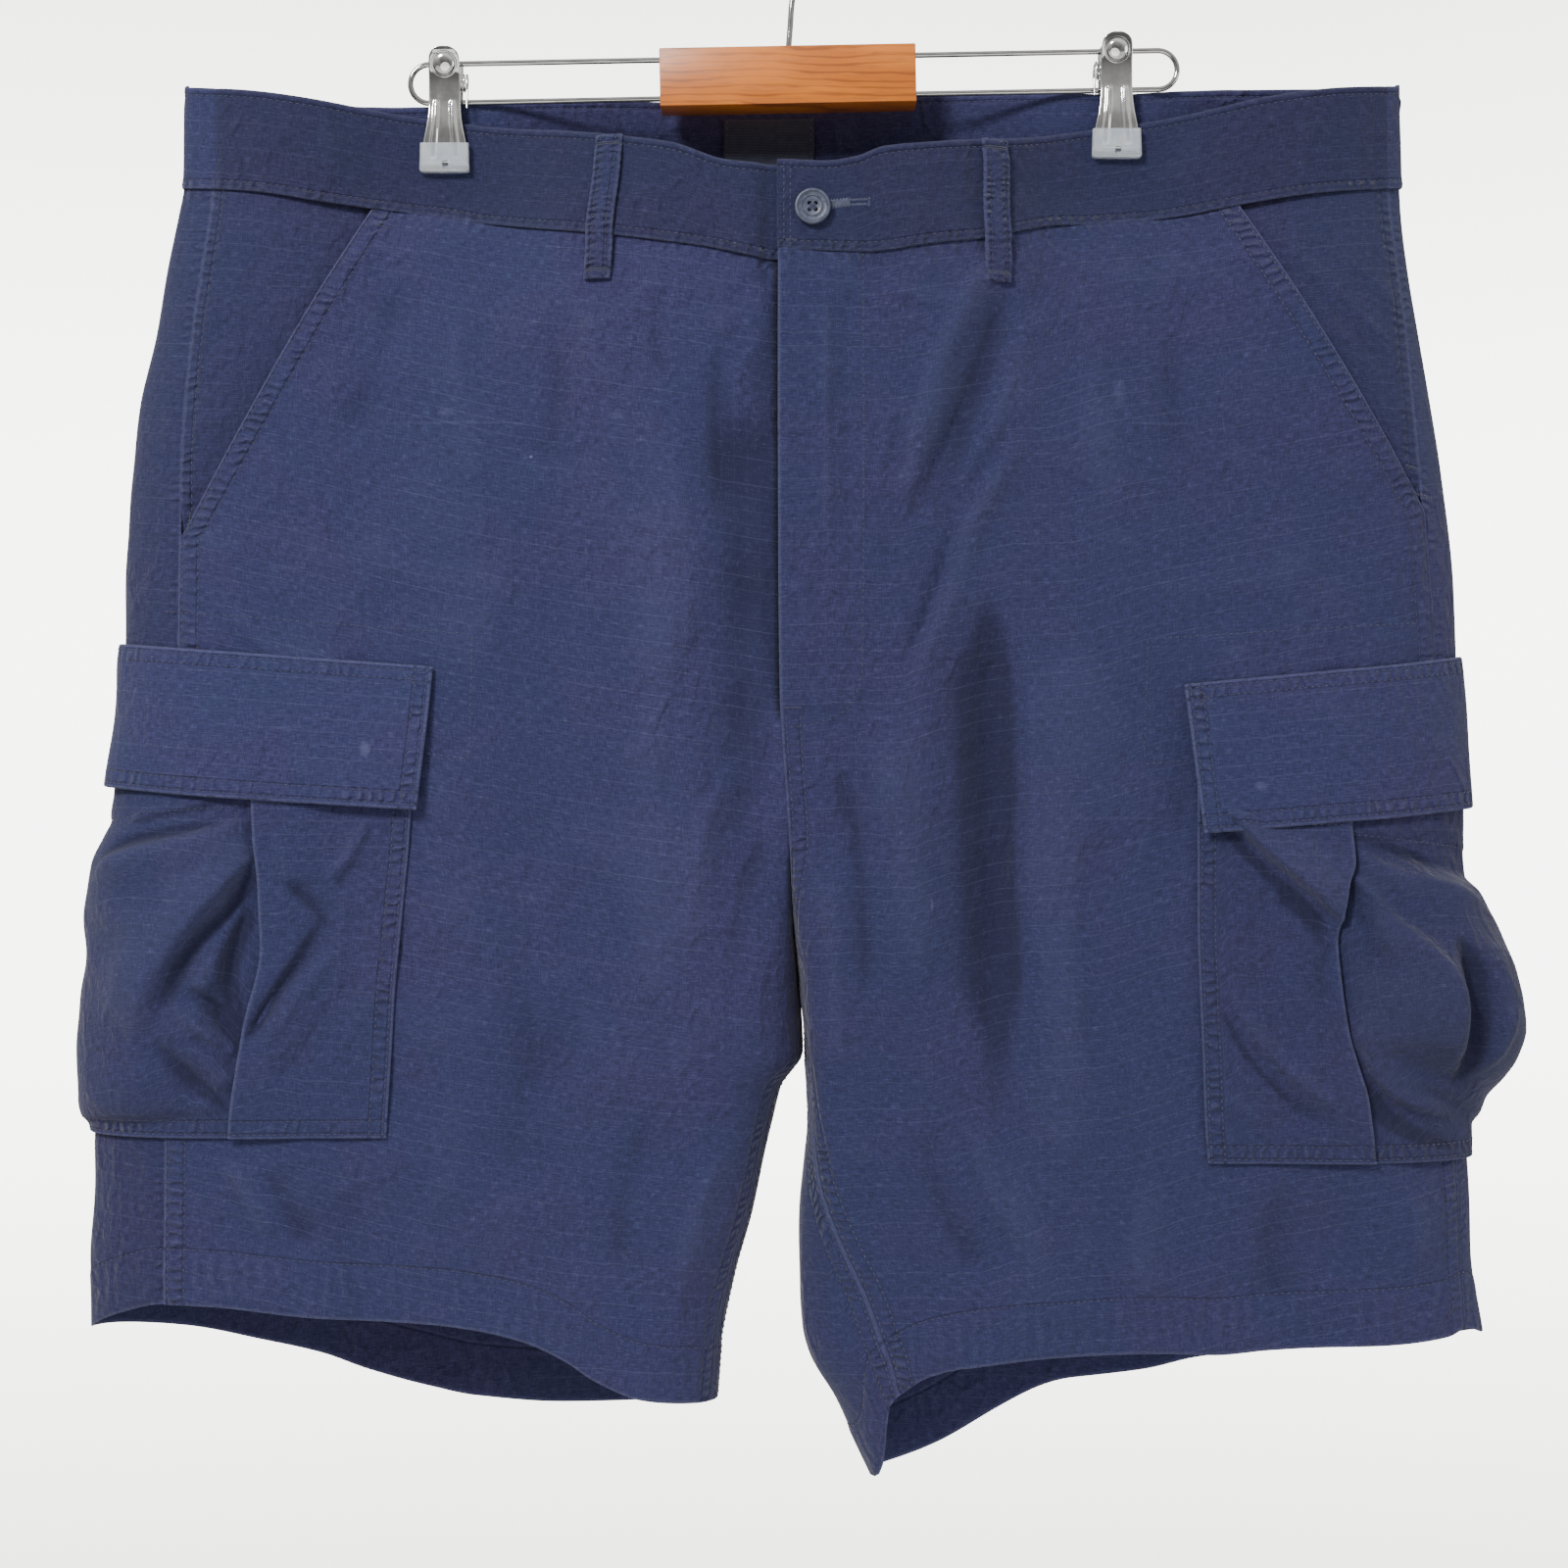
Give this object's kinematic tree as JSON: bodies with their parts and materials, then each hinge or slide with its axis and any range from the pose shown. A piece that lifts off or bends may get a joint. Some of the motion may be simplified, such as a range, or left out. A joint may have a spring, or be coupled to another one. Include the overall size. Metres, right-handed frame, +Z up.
{
  "type": "cargo shorts on a clip hanger",
  "caption": "Knee-length cargo shorts with slanted and bellows pockets, held by the waistband on a clip hanger with a wood block, a wire frame and a hook.",
  "frame": {"origin": "inside top of the hanger's hook, where it rests on a rail", "axes": "+X toward the wearer's left, +Y toward the back, +Z up; the front faces -Y"},
  "size_m": [0.6747, 0.0911, 0.7627],
  "materials": {
    "navy_cotton": "worn matt cotton",
    "charcoal_label": "woven matt",
    "button_plastic": "satin",
    "varnished_wood": "satin varnish",
    "chromed_steel": "polished",
    "clear_plastic": "clear"
  },
  "bodies": {
    "root": {"front_right": "navy_cotton", "front_left": "navy_cotton", "back_right": "navy_cotton", "back_left": "navy_cotton", "facing_right": "navy_cotton", "facing_left": "navy_cotton", "waistband_front_right": "navy_cotton", "waistband_front_left": "navy_cotton", "waistband_back_right": "navy_cotton", "waistband_back_left": "navy_cotton", "belt_loop_front_right": "navy_cotton", "belt_loop_front_left": "navy_cotton", "belt_loop_back_right": "navy_cotton", "belt_loop_back_left": "navy_cotton", "belt_loop_centre_back": "navy_cotton", "cargo_pocket_right": "navy_cotton", "cargo_pocket_left": "navy_cotton", "cargo_bellows_right": "navy_cotton", "cargo_bellows_left": "navy_cotton", "cargo_flap_right": "navy_cotton", "cargo_flap_left": "navy_cotton", "inner_label": "charcoal_label", "waist_button": "button_plastic", "hanger_block": "varnished_wood", "hanger_wire_right": "chromed_steel", "hanger_wire_left": "chromed_steel", "hanger_hook": "chromed_steel", "clip_right_front_jaw": "chromed_steel", "clip_right_front_cap": "chromed_steel", "clip_right_back_jaw": "chromed_steel", "clip_right_back_cap": "chromed_steel", "clip_left_front_jaw": "chromed_steel", "clip_left_front_cap": "chromed_steel", "clip_left_back_jaw": "chromed_steel", "clip_left_back_cap": "chromed_steel", "clip_right_sleeve": "chromed_steel", "clip_left_sleeve": "chromed_steel", "clip_right_front_pad": "clear_plastic", "clip_right_back_pad": "clear_plastic", "clip_left_front_pad": "clear_plastic", "clip_left_back_pad": "clear_plastic"}
  },
  "joints": []
}
